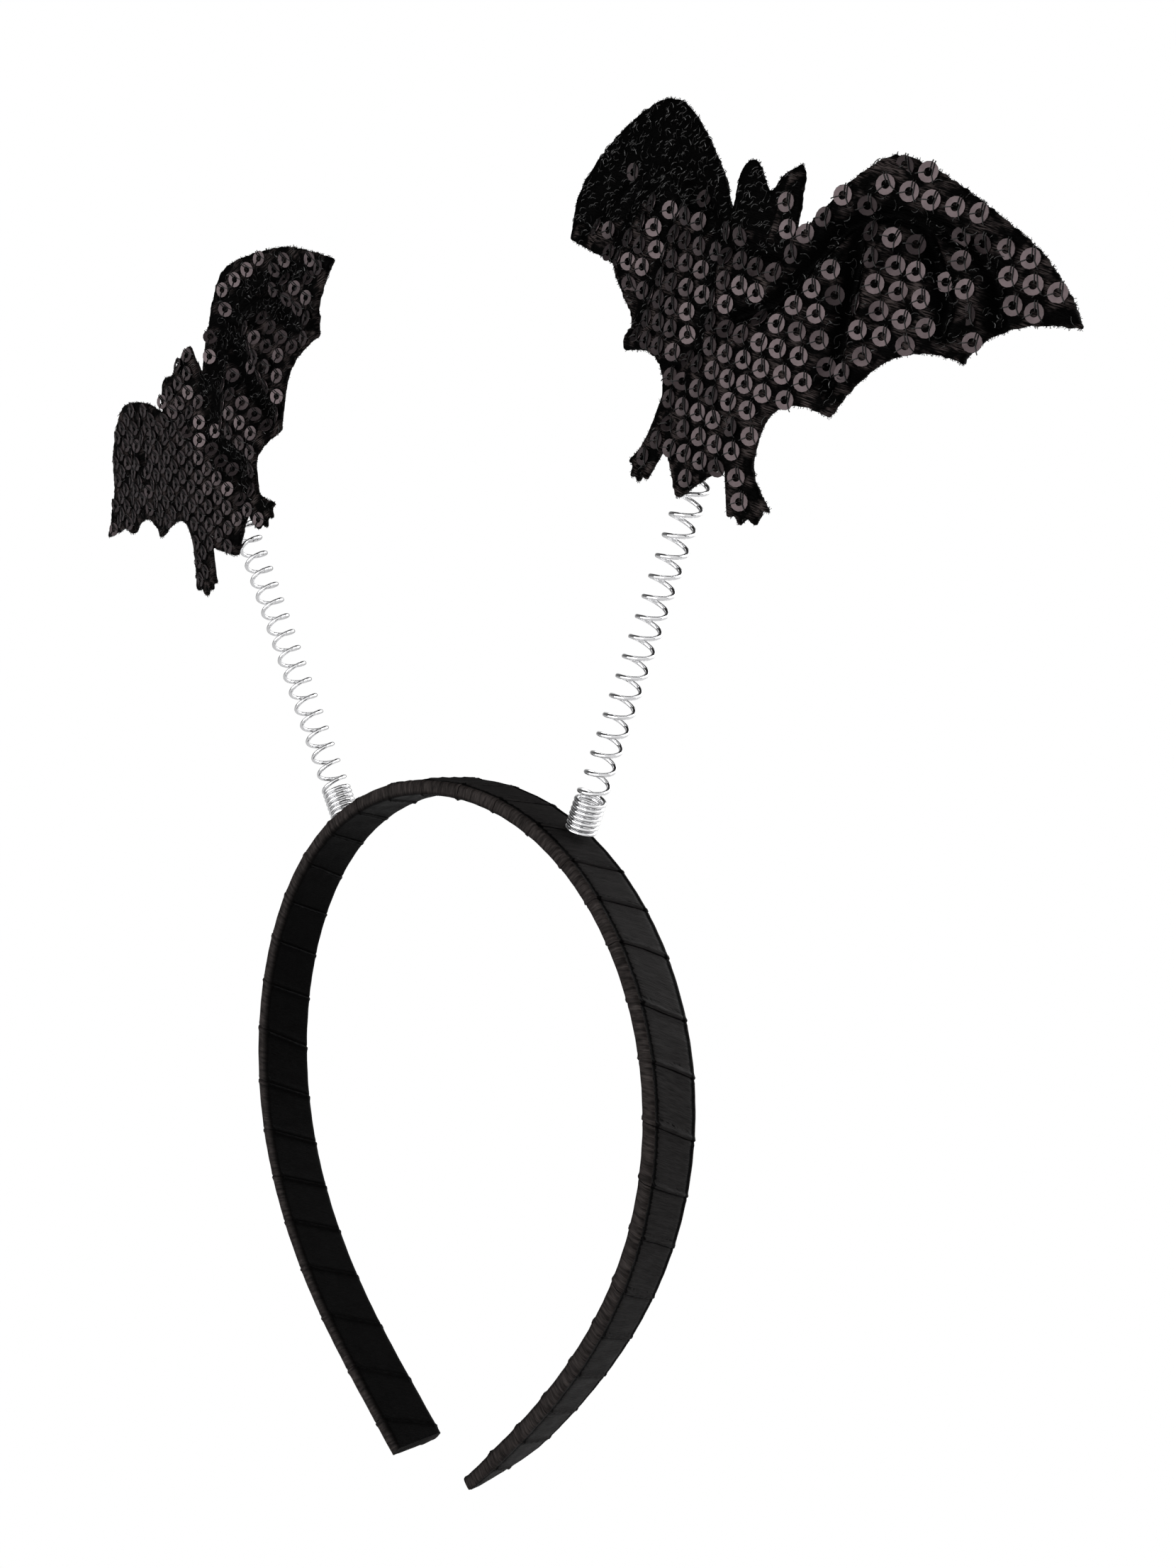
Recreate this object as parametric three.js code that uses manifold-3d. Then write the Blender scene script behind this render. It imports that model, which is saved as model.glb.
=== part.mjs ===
// Bat headband: a ribbon-wound hair band with two cloth bats standing on coil springs.
// Millimetres, +Z up, X to the wearer's left-right, the bats face -Y.
// The origin is the inside top of the arch, where the band sits on the head.
import * as THREE from "three";
import { mergeVertices } from "three/addons/utils/BufferGeometryUtils.js";
import Module from "manifold-3d";

const wasm = await Module();
wasm.setup();

// Band: one flat strip wound with ribbon and bent to an arch
const BAND_HALF = 200;
const BAND_RIGHT = 198.4;
const BAND_WIDTH = 12.5;
const BAND_THICK = 3.2;
const BAND_EDGE = 0.9;
const TURN_PITCH = 11.2;
const TURN_SLANT = 0.43;
const TURN_STEP = 0.3;
const TURN_LAP = 0.06;
const END_FADE = 28;
const PATH_STEP = 0.5;

// How sharply the arch bends, in degrees for each 10 mm along the outer face
const BENDS = [
  { share: 0.0, left: 8.1, right: 8.1 },
  { share: 0.2, left: 10.6, right: 9.7 },
  { share: 0.4, left: 7.5, right: 9.6 },
  { share: 0.6, left: 7.8, right: 7.2 },
  { share: 0.8, left: 5.4, right: 3.1 },
  { share: 1.0, left: -1.5, right: 1.5 },
];

// The right end is folded in from its back edge to a narrow tongue, the left end is cut square
const TONGUE = { length: 13, width: 0.3, thick: 0.8, ease: 0.6, rows: 4 };

// Springs: a closed stack of turns at the foot, then open turns up to the bat
const WIRE = 0.87;
const COIL_OUTER = 6.1;
const STACK_OUTER = 6.5;
const CLOSED_TURNS = 7;
const CLOSED_PITCH = 1.02;
const OPEN_PITCH = 4.05;
const SPRING_LENGTH = 82;
const WIRE_SIDES = 6;
const STEPS_PER_TURN = 9;
const FOOT_GAP = 1.0;

// Each spring stands on the outer face at an arc length from the top of the arch,
// and its wire starts turned by some degrees about its axis
const STANDS = {
  left: { side: -1, arc: 38.9, y: 0, lean: 26.5, forward: 3.5, turned: 234 },
  right: { side: 1, arc: 35.9, y: 2, lean: 23.4, forward: 0, turned: 135 },
};

// Cloth bats
const CLOTH = 1.4;
const SEAT_GAP = 0.3;
const SHOULDER = 8;
const SHOULDER_SOFT = 5;
const FOLD_DEPTH = 1.3;
const FOLD_WIDTH = 2.4;
const WRIST_DROP = 9;
const GRID = 3.6;

// Height of the bat's lower edge on its spring, its shift from the axis, and the tops of its head
const BATS = {
  left: { rise: 64.6, shift: -1.1, valley: [-0.7, 51.1], tail: [0.2, 2.6] },
  right: { rise: 71.7, shift: 0.2, valley: [-1.3, 52.2], tail: [0.4, -2.4] },
};

// One row for each half of a bat, as cut and bent by hand: points are [out from the centre, up]
const HALVES = [
  {
    bat: "right", side: 1, sweep: 18,
    ear_tip: [3.6, 58.4], ear_out: [6.0, 53], neck: [7.3, 47],
    rise: [14.8, 60], crown: [22.5, 64.4], lead: [43, 58.3], fore: [51.5, 53], tip: [56.8, 47.8],
    dip1: [45.4, 43.7], point1: [41.2, 36.7], dip2: [29.3, 33.2], point2: [23.5, 20.9],
    dip3: [15.2, 20], hip: [12.5, 14], shin: [13.6, 7.5], heel: [18.8, 2.3],
    claw_out: [17.2, -1], claw_mid: [14.2, -2.3], claw_in: [11.8, -1.8], crotch: [8.2, 6.7],
  },
  {
    bat: "right", side: -1, sweep: 12,
    ear_tip: [6.8, 57], ear_out: [9.6, 53.4], neck: [7.3, 45.6],
    rise: [15, 53.6], crown: [33.5, 62.6], lead: [47.4, 56.1], fore: [57.6, 42], tip: [55.8, 31.9],
    dip1: [48, 31.5], point1: [41.2, 31], dip2: [33, 26], point2: [26.6, 17.6],
    dip3: [17, 18.9], hip: [11.2, 13.5], shin: [11.9, 5], heel: [14.9, -0.2],
    claw_out: [13, -3.1], claw_mid: [10.4, -3.5], claw_in: [8.5, -2.1], crotch: [6.2, 5.8],
  },
  {
    bat: "left", side: 1, sweep: 12,
    ear_tip: [7.8, 53.8], ear_out: [8.9, 51], neck: [8.6, 44.7],
    rise: [19, 58.6], crown: [26.5, 63.6], lead: [41, 58.7], fore: [48, 53], tip: [53.4, 47.3],
    dip1: [46.3, 42.3], point1: [42.9, 34.5], dip2: [32, 31.9], point2: [25.3, 21],
    dip3: [16.2, 19.6], hip: [13, 12.2], shin: [14, 10.3], heel: [16.7, 7.1],
    claw_out: [14.7, 4.6], claw_mid: [12, 3.2], claw_in: [9.7, 3.9], crotch: [8.4, 9.4],
  },
  {
    bat: "left", side: -1, sweep: 12,
    ear_tip: [3.4, 52.4], ear_out: [6.8, 50.2], neck: [8.5, 45.5],
    rise: [15.4, 52.9], crown: [27.5, 59.4], lead: [40, 55], fore: [47.4, 47.5], tip: [59.2, 40.2],
    dip1: [49.5, 37.6], point1: [45.9, 34], dip2: [34.6, 31.9], point2: [30.7, 24.6],
    dip3: [18.2, 22.3], hip: [14.8, 16.5], shin: [15.8, 12.6], heel: [20.8, 5.3],
    claw_out: [17, 1.4], claw_mid: [14, 1.2], claw_in: [11.1, 1.5], crotch: [7.8, 9.5],
  },
];

const RIBBON = new THREE.MeshStandardMaterial({ color: 0x1c1a1b, roughness: 0.75, metalness: 0 });
const STEEL = new THREE.MeshStandardMaterial({ color: 0xd8d8da, roughness: 0.18, metalness: 1 });
const SEQUIN_CLOTH = new THREE.MeshStandardMaterial({ color: 0x322b2c, roughness: 0.7, metalness: 0 });

// Bend of one side in radians per mm at a share of its half length
function bendAt(share, column) {
  const last = BENDS.length - 1;
  const place = Math.min(share * last, last - 1e-9);
  const row = Math.floor(place);
  const degrees = THREE.MathUtils.lerp(BENDS[row][column], BENDS[row + 1][column], place - row);
  return THREE.MathUtils.degToRad(degrees) / 10;
}

// Point and outward normal of the outer face at a signed arc length from the top
function archAt(arc) {
  const side = arc < 0 ? -1 : 1;
  const column = arc < 0 ? "left" : "right";
  const length = Math.abs(arc);
  const steps = Math.max(1, Math.round(length / PATH_STEP));
  const step = length / steps;
  let x = 0;
  let z = BAND_THICK;
  let turn = 0;
  for (let i = 0; i < steps; i += 1) {
    const bend = bendAt(((i + 0.5) * step) / BAND_HALF, column);
    const middle = turn + (bend * step) / 2;
    x += Math.cos(middle) * step;
    z -= Math.sin(middle) * step;
    turn += bend * step;
  }
  return {
    point: new THREE.Vector3(side * x, 0, z),
    normal: new THREE.Vector3(side * Math.sin(turn), 0, Math.cos(turn)),
  };
}

// Section of the wound band as [across, out], with eased corners, grown by the ribbon's lap
function bandSection(grow, widthScale, thickScale) {
  const half = (BAND_WIDTH / 2) * widthScale + grow;
  const top = grow;
  const bottom = -BAND_THICK * thickScale;
  const ease = BAND_EDGE * thickScale;
  return [
    [-half, bottom + ease], [-half + ease, bottom], [0, bottom], [half - ease, bottom],
    [half, bottom + ease], [half, top - ease], [half - ease, top], [0, top],
    [-half + ease, top], [-half, top - ease],
  ];
}

// Closed solid through equal rings of points, with flat ends
function loft(rings) {
  const count = rings[0].length;
  const positions = rings.flat().flatMap((p) => [p.x, p.y, p.z]);
  const index = [];
  for (let i = 0; i + 1 < rings.length; i += 1) {
    for (let j = 0; j < count; j += 1) {
      const a = i * count + j;
      const b = i * count + ((j + 1) % count);
      index.push(a, b, a + count, b, b + count, a + count);
    }
  }
  const end = (rings.length - 1) * count;
  for (let j = 1; j + 1 < count; j += 1) {
    index.push(0, j + 1, j);
    index.push(end, end + j, end + j + 1);
  }
  const geometry = new THREE.BufferGeometry();
  geometry.setAttribute("position", new THREE.Float32BufferAttribute(positions, 3));
  geometry.setIndex(index);
  geometry.computeVertexNormals();
  return geometry;
}

// Arc lengths of the rings, two at each slanted lap of the ribbon, with the lap's height
function ringPlaces() {
  const places = [{ arc: -BAND_HALF, grow: 0 }];
  const turns = Math.floor((2 * BAND_HALF - TURN_PITCH) / TURN_PITCH);
  const first = -(turns * TURN_PITCH) / 2;
  for (let i = 0; i <= turns; i += 1) {
    const lap = first + i * TURN_PITCH;
    places.push({ arc: lap - TURN_LAP * TURN_PITCH, grow: TURN_STEP });
    places.push({ arc: lap + TURN_LAP * TURN_PITCH, grow: 0 });
  }
  const plain = places.filter(({ arc }) => arc < BAND_RIGHT - TONGUE.length);
  for (let i = 0; i <= TONGUE.rows; i += 1) {
    plain.push({ arc: BAND_RIGHT - TONGUE.length * (1 - i / TONGUE.rows), grow: 0 });
  }
  return plain;
}

function makeBand() {
  const rings = ringPlaces().map(({ arc, grow }) => {
    const tongue = Math.max(0, (arc - BAND_RIGHT + TONGUE.length) / TONGUE.length);
    const widthScale = THREE.MathUtils.lerp(1, TONGUE.width, tongue ** (1 / TONGUE.ease));
    const thickScale = THREE.MathUtils.lerp(1, TONGUE.thick, tongue);
    const foldIn = (BAND_WIDTH / 2) * (1 - widthScale);
    const slant = TURN_SLANT * THREE.MathUtils.smoothstep(BAND_HALF - Math.abs(arc), TONGUE.length, END_FADE);
    return bandSection(grow, widthScale, thickScale).map(([across, out]) => {
      const { point, normal } = archAt(arc + slant * across);
      return point.addScaledVector(normal, out).add(new THREE.Vector3(0, across - foldIn, 0));
    });
  });
  const mesh = new THREE.Mesh(loft(rings), RIBBON);
  mesh.name = "band";
  return mesh;
}

// Helix about Z that starts as a closed stack and opens to its working pitch
class SpringCurve extends THREE.Curve {
  constructor() {
    super();
    this.closed = CLOSED_TURNS * CLOSED_PITCH;
    this.turns = CLOSED_TURNS + (SPRING_LENGTH - FOOT_GAP - this.closed) / OPEN_PITCH;
    this.arcLengthDivisions = Math.round(this.turns * 120);
  }

  getPoint(t, target = new THREE.Vector3()) {
    const turn = t * this.turns;
    const open = Math.max(0, turn - CLOSED_TURNS);
    const height = FOOT_GAP + Math.min(turn, CLOSED_TURNS) * CLOSED_PITCH + open * OPEN_PITCH;
    const outer = THREE.MathUtils.lerp(STACK_OUTER, COIL_OUTER, Math.min(open, 1));
    const radius = (outer - WIRE) / 2;
    const angle = turn * Math.PI * 2;
    return target.set(radius * Math.cos(angle), radius * Math.sin(angle), height);
  }
}

function makeSpring(name, turned) {
  const section = new THREE.Shape();
  for (let i = 0; i < WIRE_SIDES; i += 1) {
    const angle = (i / WIRE_SIDES) * Math.PI * 2;
    const corner = [(WIRE / 2) * Math.cos(angle), (WIRE / 2) * Math.sin(angle)];
    if (i === 0) section.moveTo(...corner);
    else section.lineTo(...corner);
  }
  section.closePath();
  const curve = new SpringCurve();
  const geometry = new THREE.ExtrudeGeometry(section, {
    steps: Math.round(curve.turns * STEPS_PER_TURN),
    extrudePath: curve,
  });
  const mesh = new THREE.Mesh(geometry, STEEL);
  mesh.name = name;
  mesh.rotation.z = THREE.MathUtils.degToRad(turned);
  return mesh;
}

const pairs = (row, names) => names.map((name) => new THREE.Vector2(...row[name]));
const smooth = (points, count) => new THREE.SplineCurve(points).getPoints(count);

// Scallop between two corners, passing through its dip halfway
function scallop(row, from, dip, to, count) {
  const [a, middle, b] = pairs(row, [from, dip, to]);
  const control = middle.clone().multiplyScalar(2).sub(a.clone().add(b).multiplyScalar(0.5));
  return new THREE.QuadraticBezierCurve(a, control, b).getPoints(count);
}

// Half outline from the notch between the ears, round the wing and leg, to the tip of the tail
function halfOutline(half, bat) {
  const valley = new THREE.Vector2(bat.valley[0] * half.side, bat.valley[1]);
  const tail = new THREE.Vector2(bat.tail[0] * half.side, bat.tail[1]);
  const runs = [
    smooth([valley, ...pairs(half, ["ear_tip", "ear_out", "neck"])], 9),
    smooth(pairs(half, ["neck", "rise", "crown", "lead", "fore", "tip"]), 18),
    scallop(half, "tip", "dip1", "point1", 6),
    scallop(half, "point1", "dip2", "point2", 8),
    scallop(half, "point2", "dip3", "hip", 6),
    smooth(pairs(half, ["hip", "shin", "heel"]), 5),
    pairs(half, ["claw_out", "claw_mid", "claw_in", "crotch"]),
    [tail],
  ];
  const points = runs.flatMap((run, i) => (i > 0 && i < 6 ? run.slice(1) : run));
  return points.map((p) => new THREE.Vector2(p.x * half.side, p.y));
}

function batShape(bat, halves) {
  const right = halfOutline(halves.find((half) => half.side > 0), bat);
  const left = halfOutline(halves.find((half) => half.side < 0), bat);
  return new THREE.Shape([...left, ...right.reverse().slice(1, -1)]);
}

// Distance from a point to a segment, all in the wing's flat coordinates
function toSegment(p, a, b) {
  const along = b.clone().sub(a);
  const share = THREE.MathUtils.clamp(p.clone().sub(a).dot(along) / along.lengthSq(), 0, 1);
  return p.distanceTo(a.clone().addScaledVector(along, share));
}

// How far back the cloth lies: wings swept back from the shoulder, creased along arm and fingers
function clothDepth(x, z, halves) {
  const half = halves.find((row) => row.side === (x < 0 ? -1 : 1));
  const past = Math.abs(x) - SHOULDER;
  const soft = Math.max(0, past + SHOULDER_SOFT) ** 2 / (4 * SHOULDER_SOFT);
  const reach = past > SHOULDER_SOFT ? past : soft;
  const here = new THREE.Vector2(Math.abs(x), z);
  const [neck, crown, tip, point1, point2] = pairs(half, ["neck", "crown", "tip", "point1", "point2"]);
  const wrist = new THREE.Vector2(crown.x, crown.y - WRIST_DROP);
  const elbow = new THREE.Vector2(SHOULDER + SHOULDER_SOFT, neck.y - WRIST_DROP / 2);
  const creases = [elbow, tip, point1, point2].map((end) => toSegment(here, wrist, end));
  const fold = FOLD_DEPTH * Math.exp(-((Math.min(...creases) / FOLD_WIDTH) ** 2));
  return reach * Math.tan(THREE.MathUtils.degToRad(half.sweep)) + fold;
}

function toSolid(geometry) {
  const bare = geometry.clone();
  bare.deleteAttribute("normal");
  bare.deleteAttribute("uv");
  const merged = mergeVertices(bare, 1e-4);
  const vertProperties = new Float32Array(merged.attributes.position.array);
  const triVerts = new Uint32Array(merged.index.array);
  return new wasm.Manifold(new wasm.Mesh({ numProp: 3, vertProperties, triVerts }));
}

function fromSolid(solid) {
  const mesh = solid.getMesh();
  const geometry = new THREE.BufferGeometry();
  geometry.setAttribute("position", new THREE.BufferAttribute(mesh.vertProperties, 3));
  geometry.setIndex(new THREE.BufferAttribute(mesh.triVerts, 1));
  geometry.computeVertexNormals();
  return geometry;
}

// Cloth bat: a swept and creased sheet cut along the outline
function makeBat(name, bat, halves) {
  const shape = batShape(bat, halves);
  const box = new THREE.Box2().setFromPoints(shape.getPoints());
  const size = box.getSize(new THREE.Vector2()).addScalar(2 * GRID);
  const centre = box.getCenter(new THREE.Vector2());
  const across = Math.round(size.x / GRID);
  const up = Math.round(size.y / GRID);
  const sheet = new THREE.BoxGeometry(size.x, CLOTH, size.y, across, 1, up);
  sheet.translate(centre.x, 0, centre.y);
  const places = sheet.attributes.position;
  for (let i = 0; i < places.count; i += 1) {
    places.setY(i, places.getY(i) + clothDepth(places.getX(i), places.getZ(i), halves));
  }
  const cutter = new THREE.ExtrudeGeometry(shape, { depth: size.x, bevelEnabled: false });
  cutter.rotateX(Math.PI / 2).translate(0, size.x / 2, 0);
  const mesh = new THREE.Mesh(fromSolid(toSolid(sheet).intersect(toSolid(cutter))), SEQUIN_CLOTH);
  mesh.name = name;
  mesh.position.set(bat.shift, -(COIL_OUTER / 2 + SEAT_GAP + CLOTH / 2), bat.rise);
  return mesh;
}

const headband = new THREE.Group();
headband.add(makeBand());
for (const [name, { side, arc, y, lean, forward, turned }] of Object.entries(STANDS)) {
  const stand = new THREE.Group();
  stand.position.copy(archAt(side * arc).point).setY(y);
  stand.rotation.order = "YXZ";
  stand.rotation.y = side * THREE.MathUtils.degToRad(lean);
  stand.rotation.x = THREE.MathUtils.degToRad(forward);
  stand.add(makeSpring(`spring_${name}`, turned));
  stand.add(makeBat(`bat_${name}`, BATS[name], HALVES.filter((half) => half.bat === name)));
  headband.add(stand);
}

export default headband;
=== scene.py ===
"""Bat headband: ribbon-wound band, two coil springs and two sequin cloth bats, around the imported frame."""
import math
import random

import bpy
import numpy as np
from bpy.props import FloatProperty, FloatVectorProperty, IntProperty, PointerProperty
from mathutils import Matrix, Vector
from mathutils.bvhtree import BVHTree


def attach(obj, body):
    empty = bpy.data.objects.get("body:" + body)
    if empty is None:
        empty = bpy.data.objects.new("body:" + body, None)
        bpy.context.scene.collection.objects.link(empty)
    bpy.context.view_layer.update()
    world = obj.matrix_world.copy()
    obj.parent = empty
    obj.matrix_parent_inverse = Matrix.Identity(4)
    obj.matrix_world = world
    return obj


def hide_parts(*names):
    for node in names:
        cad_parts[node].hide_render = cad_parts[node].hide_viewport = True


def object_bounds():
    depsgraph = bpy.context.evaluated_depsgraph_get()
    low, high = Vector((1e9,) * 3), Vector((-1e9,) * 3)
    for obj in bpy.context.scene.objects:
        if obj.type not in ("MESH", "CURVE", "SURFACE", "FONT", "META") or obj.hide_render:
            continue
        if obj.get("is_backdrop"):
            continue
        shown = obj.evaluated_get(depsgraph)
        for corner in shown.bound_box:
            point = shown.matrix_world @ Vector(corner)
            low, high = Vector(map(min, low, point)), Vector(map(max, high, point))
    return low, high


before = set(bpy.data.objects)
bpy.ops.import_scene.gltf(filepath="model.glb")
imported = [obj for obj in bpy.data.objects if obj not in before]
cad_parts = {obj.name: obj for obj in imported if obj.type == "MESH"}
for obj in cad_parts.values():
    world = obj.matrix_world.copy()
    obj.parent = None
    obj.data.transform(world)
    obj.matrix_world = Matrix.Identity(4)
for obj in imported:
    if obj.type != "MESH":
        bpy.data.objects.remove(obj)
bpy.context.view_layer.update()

bl_info = {
    "name": "Bat headband",
    "version": (1, 0, 0),
    "blender": (4, 5, 0),
    "location": "3D View > Sidebar > Headband",
    "description": "Dresses the bat headband with satin ribbon, bright springs and sequin cloth",
    "category": "Object",
}

MM = 0.001
SIDES = ("left", "right")

# Wound band in millimetres: half its length, its right half, its width and its thickness
BAND_HALF = 200
BAND_RIGHT = 198.4
BAND_WIDTH = 12.5
BAND_THICK = 3.2

# Arch of the outer face, in degrees of bend for each 10 mm, at shares of the half length
BEND_SHARES = (0.0, 0.2, 0.4, 0.6, 0.8, 1.0)
BENDS = {"left": (8.1, 10.6, 7.5, 7.8, 5.4, -1.5), "right": (8.1, 9.7, 9.6, 7.2, 3.1, 1.5)}
BEND_RUN = 10
ARCH_STEP = 0.25
ARCH_REACH = 212

# Right end of the band, folded in from its back edge
TONGUE = {"length": 13, "width": 0.3, "thick": 0.8, "ease": 0.6}

# Stands of the springs on the band, and of the bats on the springs, in millimetres and degrees
STANDS = {
    "left": {"side": -1, "arc": 38.9, "y": 0, "lean": 26.5, "forward": 3.5, "turned": 234},
    "right": {"side": 1, "arc": 35.9, "y": 2, "lean": 23.4, "forward": 0, "turned": 135},
}
BATS = {
    "left": {"rise": 64.6, "shift": -1.1, "flat": (118, 68), "area": 3420},
    "right": {"rise": 71.7, "shift": 0.2, "flat": (119, 69), "area": 3960},
}

# From a spring's axis forward to the middle of its bat's cloth, and from the band up to the start of its wire
BAT_SEAT = 4.05
FOOT_GAP = 1.0


# Settings that a user would change

def length_setting(name, description, millimetres):
    return FloatProperty(name=name, description=description, default=millimetres * MM,
                         unit="LENGTH", precision=6)


def colour_setting(name, description, default):
    return FloatVectorProperty(name=name, description=description, default=default,
                               subtype="COLOR", min=0, max=1)


def angle_setting(name, description, default):
    return FloatProperty(name=name, description=description, default=default, subtype="ANGLE")


def power_setting(name, description, default):
    return FloatProperty(name=name, description=description, default=default, unit="POWER")


class RibbonSettings(bpy.types.PropertyGroup):
    """Satin ribbon wound round the band"""
    width: length_setting("Band width", "Width of the wound band", BAND_WIDTH)
    thickness: length_setting("Band thickness", "Thickness of the wound band", BAND_THICK)
    left_length: length_setting("Left half", "Length along the band from the top to the left end", BAND_HALF)
    right_length: length_setting("Right half", "Length along the band from the top to the right end",
                                 BAND_RIGHT)
    pitch: length_setting("Lap pitch", "Distance along the band between two laps of the ribbon", 11.2)
    slant: FloatProperty(name="Lap slant", description="Run of a lap along the band for each unit across it",
                         default=0.43)
    selvedge: length_setting("Selvedge height", "Height of the puckered edge at each lap", 0.34)
    # The ribbon colour shows on the inner faces as painted shade, and the outer colour on the outer faces as
    # painted light, of one black satin
    colour: colour_setting("Ribbon colour", "Black of the satin ribbon", (0.0013, 0.0012, 0.0012))
    lit_face_colour: colour_setting("Outer colour", "Charcoal of the ribbon on the outer face",
                                (0.026, 0.0243, 0.024))
    # Painted sheen on the band's edges, over their ribbed grain
    edge_sheen_colour: colour_setting("Edge colour", "Brown-grey of the ribbon round the band's edges",
                                (0.048, 0.0405, 0.0385))


class SpringSettings(bpy.types.PropertyGroup):
    """Bright coil springs"""
    wire: length_setting("Wire", "Diameter of the spring wire", 0.87)
    coil: length_setting("Coil", "Outer diameter of the open turns", 6.1)
    stack: length_setting("Foot", "Outer diameter of the closed turns at the foot", 6.5)
    closed_turns: IntProperty(name="Closed turns", description="Turns that touch each other at the foot",
                              default=7)
    closed_pitch: length_setting("Closed pitch", "Rise of a closed turn", 1.02)
    open_pitch: length_setting("Open pitch", "Rise of an open turn", 4.05)
    length: length_setting("Length", "Length of the spring from the band to its top", 82)
    colour: colour_setting("Steel colour", "Reflection colour of the plated wire", (0.9, 0.9, 0.91))


class ClothSettings(bpy.types.PropertyGroup):
    """Sequin cloth of the bats"""
    voxel: length_setting("Cloth detail", "Size of the cloth mesh's faces", 0.45)
    sequin: length_setting("Sequin", "Diameter of a sequin", 3.45)
    hole: length_setting("Hole", "Diameter of the hole in a sequin", 1.45)
    spacing: length_setting("Sequin spacing", "Distance between sequins in a row", 3.98)
    row: length_setting("Row spacing", "Distance between rows of sequins", 3.82)
    thread: length_setting("Thread", "Diameter of the sewing thread", 0.22)
    seed: IntProperty(name="Seed", description="Seed of the small irregularities", default=7)
    cloth_colour: colour_setting("Cloth colour", "Black-brown of the cloth between its threads",
                                 (0.0003, 0.00025, 0.00025))
    # Weave colour: the raised threads with painted sheen, shown in lit patches
    weave_and_sheen_colour: colour_setting("Weave colour", "Grey-brown of the cloth's raised threads",
                                 (0.044, 0.035, 0.0335))
    sequin_colour: colour_setting("Sequin colour", "Dusty black of the sequins", (0.0042, 0.0032, 0.0034))
    dust_colour: colour_setting("Dust colour", "Grey-brown bloom on the sequins", (0.012, 0.0095, 0.0095))
    stitch_colour: colour_setting("Stitch colour", "Black of the sewing thread", (0.004, 0.0035, 0.0035))
    fray_colour: colour_setting("Fibre colour", "Dark fibres of the cut edge", (0.006, 0.005, 0.005))
    loop_colour: colour_setting("Loop colour", "Grey of the thread loops on the face", (0.014, 0.013, 0.013))


class StageSettings(bpy.types.PropertyGroup):
    """Camera, floor and light"""
    camera: FloatVectorProperty(name="Camera", description="Place of the camera",
                                default=(0.277605, -0.243352, 0.025741), subtype="TRANSLATION")
    azimuth: angle_setting("Azimuth", "Turn of the camera round the object", 0.77664)
    elevation: angle_setting("Elevation", "Height of the camera above the horizon", 0.06289)
    roll: angle_setting("Roll", "Turn of the camera about its axis", 0.01352)
    lens: FloatProperty(name="Lens", description="Focal length on a 36 mm sensor",
                        default=40.69, unit="CAMERA")
    key: power_setting("Key light", "Power of the large front light", 12.2)
    side: power_setting("Side light", "Power of the light beside the right arm", 0.7)
    back: power_setting("Back light", "Power of the light behind the object", 5.0)
    top: power_setting("Top light", "Power of the light above", 0.4)
    floor_colour: colour_setting("Floor colour", "Pale floor", (0.85, 0.85, 0.85))


class HeadbandSettings(bpy.types.PropertyGroup):
    """All settings of the bat headband"""
    ribbon: PointerProperty(type=RibbonSettings)
    spring: PointerProperty(type=SpringSettings)
    cloth: PointerProperty(type=ClothSettings)
    stage: PointerProperty(type=StageSettings)


# Objects and selections

def deselect_all():
    if bpy.context.object and bpy.context.object.mode != "OBJECT":
        bpy.ops.object.mode_set(mode="OBJECT")
    bpy.ops.object.select_all(action="DESELECT")


def make_active(obj):
    deselect_all()
    obj.select_set(True)
    bpy.context.view_layer.objects.active = obj


def apply_modifier(obj, kind, **values):
    make_active(obj)
    modifier = obj.modifiers.new(kind.title(), kind)
    for name, value in values.items():
        setattr(modifier, name, value)
    bpy.ops.object.modifier_apply(modifier=modifier.name)


def edit_all(obj):
    make_active(obj)
    bpy.ops.object.mode_set(mode="EDIT")
    bpy.ops.mesh.select_mode(type="VERT")
    bpy.ops.mesh.select_all(action="SELECT")


def edit_merged(obj, millimetres):
    edit_all(obj)
    bpy.ops.mesh.remove_doubles(threshold=millimetres * MM)


def points_of(obj):
    places = np.empty(len(obj.data.vertices) * 3)
    obj.data.vertices.foreach_get("co", places)
    return places.reshape(-1, 3)


def set_points(obj, places):
    obj.data.vertices.foreach_set("co", np.asarray(places, float).ravel())
    obj.data.update()


def mesh_object(name, vertices, faces):
    mesh = bpy.data.meshes.new(name)
    mesh.from_pydata([tuple(v) for v in vertices], [], faces)
    obj = bpy.data.objects.new(name, mesh)
    bpy.context.scene.collection.objects.link(obj)
    return obj


def store(mesh, **values):
    """Keeps a number for each point, which a material reads by its name."""
    for name, value in values.items():
        data = mesh.attributes.new(name, "FLOAT", "POINT").data
        data.foreach_set("value", np.asarray(value, float))


def face_outwards(obj, smooth_degrees):
    """Leaves edit mode with all faces outwards and smooth shading up to an angle."""
    bpy.ops.mesh.select_all(action="SELECT")
    bpy.ops.mesh.normals_make_consistent(inside=False)
    bpy.ops.object.mode_set(mode="OBJECT")
    bpy.ops.object.shade_smooth_by_angle(angle=math.radians(smooth_degrees))
    return obj


def finish_piece(obj, material, replaced=None):
    obj.data.materials.clear()
    obj.data.materials.append(material)
    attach(obj, "root")
    if replaced:
        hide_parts(replaced)
    return obj


# Arch of the band

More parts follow.
